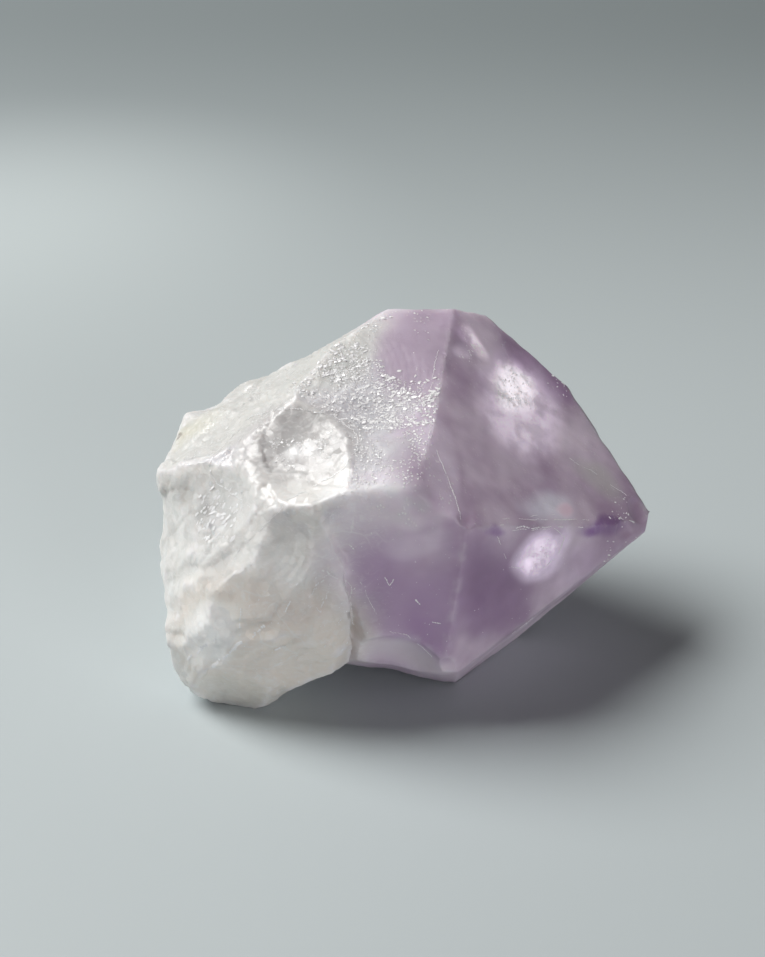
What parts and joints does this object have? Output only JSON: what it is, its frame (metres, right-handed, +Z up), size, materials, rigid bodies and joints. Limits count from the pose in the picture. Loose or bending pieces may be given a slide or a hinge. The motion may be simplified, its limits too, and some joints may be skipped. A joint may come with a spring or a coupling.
{
  "type": "amethyst point",
  "caption": "Single raw amethyst crystal lying on its side, purple six-sided point grading into a broken milky quartz root.",
  "frame": {"origin": "centre of the bounding box at the level the stone rests on", "axes": "+X along the crystal's long axis towards its tip, -Y towards the front of the stone as pictured, +Z up"},
  "size_m": [0.0854, 0.0606, 0.0564],
  "materials": {
    "amethyst": "clear to milky quartz, frosted upper face, conchoidal breaks"
  },
  "bodies": {
    "root": {"amethyst_point": "amethyst"}
  },
  "joints": []
}
